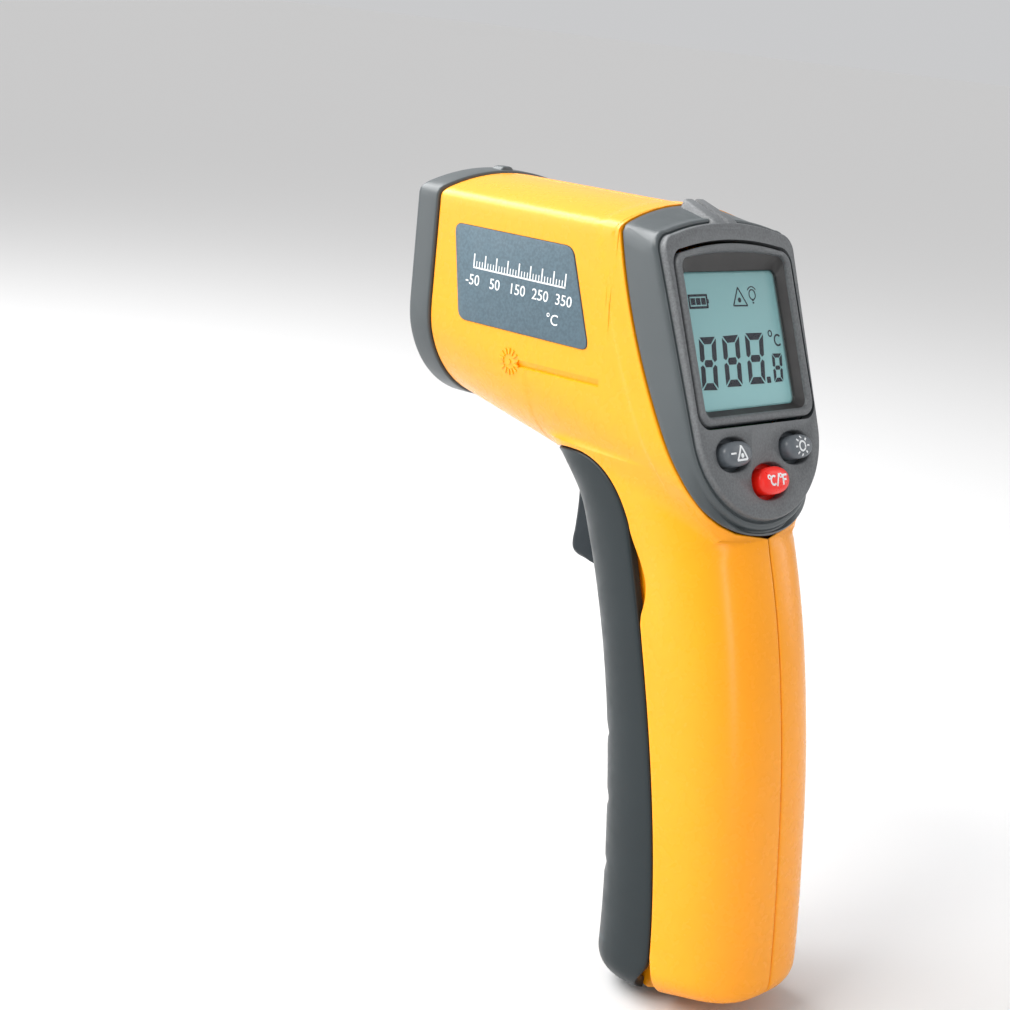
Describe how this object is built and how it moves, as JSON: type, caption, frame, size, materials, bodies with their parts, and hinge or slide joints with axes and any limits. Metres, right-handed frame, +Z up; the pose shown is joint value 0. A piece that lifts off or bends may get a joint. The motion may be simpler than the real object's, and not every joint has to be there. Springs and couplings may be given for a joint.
{
  "type": "infrared thermometer",
  "caption": "Pistol-grip infrared thermometer with a tilted display and buttons on its back, a trigger, a battery door forming the front of the grip, and a recessed lens and laser in front",
  "frame": {"origin": "the middle of the grip, where a hand or a holster holds it: on the plane of symmetry, half-way through the grip and 54 mm above its lowest point", "axes": "+X to the user's right, +Y the way the lens and laser point, +Z up; the object stands as it is held"},
  "size_m": [0.0414, 0.098, 0.157],
  "materials": {
    "shell_orange": "satin orange moulding",
    "bezel_grey": "fine textured grey",
    "grip_slate": "satin dark slate",
    "label_blue_grey": "brushed-look printed film",
    "button_grey": "soft grey key",
    "button_red": "satin red key",
    "window_clear": "clear acrylic",
    "display_teal": "liquid crystal glass with a teal backlight",
    "diffuser_white": "milky white",
    "zebra_rubber": "striped contact rubber",
    "board_green": "solder mask",
    "black_plastic": "matte black",
    "lens_smoke": "polished infrared lens",
    "steel": "zinc-plated steel",
    "brass": "bright brass",
    "laser_window_red": "dark red window",
    "cell_jacket": "plain grey cell jacket",
    "wire_red": "red wire insulation",
    "wire_black": "black wire insulation"
  },
  "bodies": {
    "case": {"left_shell": "shell_orange", "right_shell": "shell_orange", "shell_screw_1": "steel", "shell_screw_2": "steel", "shell_screw_3": "steel", "shell_screw_4": "steel", "side_label_left": "label_blue_grey", "side_label_right": "label_blue_grey", "door_pin": "steel", "trigger_pin": "steel", "trigger_switch": "black_plastic", "switch_board": "board_green", "front_bezel": "bezel_grey", "lens_tube": "black_plastic", "ir_lens": "lens_smoke", "lens_ring": "steel", "thermopile": "steel", "sensor_board": "board_green", "sensor_cable": "wire_black", "laser_module": "brass", "laser_clip": "black_plastic", "laser_window": "laser_window_red", "rear_bezel": "bezel_grey", "display_window": "window_clear", "display_glass": "display_teal", "display_holder": "black_plastic", "backlight_plate": "diffuser_white", "contact_strip": "zebra_rubber", "main_board": "board_green", "controller_chip": "black_plastic", "switch_laser": "black_plastic", "switch_light": "black_plastic", "switch_unit": "black_plastic", "buzzer": "black_plastic", "battery_tray": "black_plastic", "battery_left": "cell_jacket", "battery_right": "cell_jacket", "contact_spring_left": "steel", "contact_spring_right": "steel", "contact_tab_left": "brass", "contact_tab_right": "brass", "battery_lead_red": "wire_red", "battery_lead_black": "wire_black"},
    "trigger": {"trigger": "grip_slate", "trigger_spring": "steel"},
    "battery_door": {"battery_door": "grip_slate"},
    "button_laser": {"button_laser": "button_grey"},
    "button_light": {"button_light": "button_grey"},
    "button_unit": {"button_unit": "button_red"}
  },
  "joints": [
    {"name": "trigger_pull", "type": "hinge", "parent": "case", "child": "trigger", "pos_m": [0, 0.029, 0.048], "axis": [-1, 0, 0], "range_deg": [0, 7], "stiffness_Nm_per_rad": 0.12, "springref_deg": -8.59},
    {"name": "battery_door_hinge", "type": "hinge", "parent": "case", "child": "battery_door", "pos_m": [0, 0.0006, -0.049], "axis": [-1, 0, 0], "range_deg": [0, 75]},
    {"name": "laser_key", "type": "slide", "parent": "case", "child": "button_laser", "axis": [0, 0.9359, -0.3522], "range_m": [0, 0.0008], "stiffness_N_per_m": 400, "springref_m": -0.001},
    {"name": "light_key", "type": "slide", "parent": "case", "child": "button_light", "axis": [0, 0.9359, -0.3522], "range_m": [0, 0.0008], "stiffness_N_per_m": 400, "springref_m": -0.001},
    {"name": "unit_key", "type": "slide", "parent": "case", "child": "button_unit", "axis": [0, 0.9359, -0.3522], "range_m": [0, 0.0008], "stiffness_N_per_m": 400, "springref_m": -0.001}
  ]
}
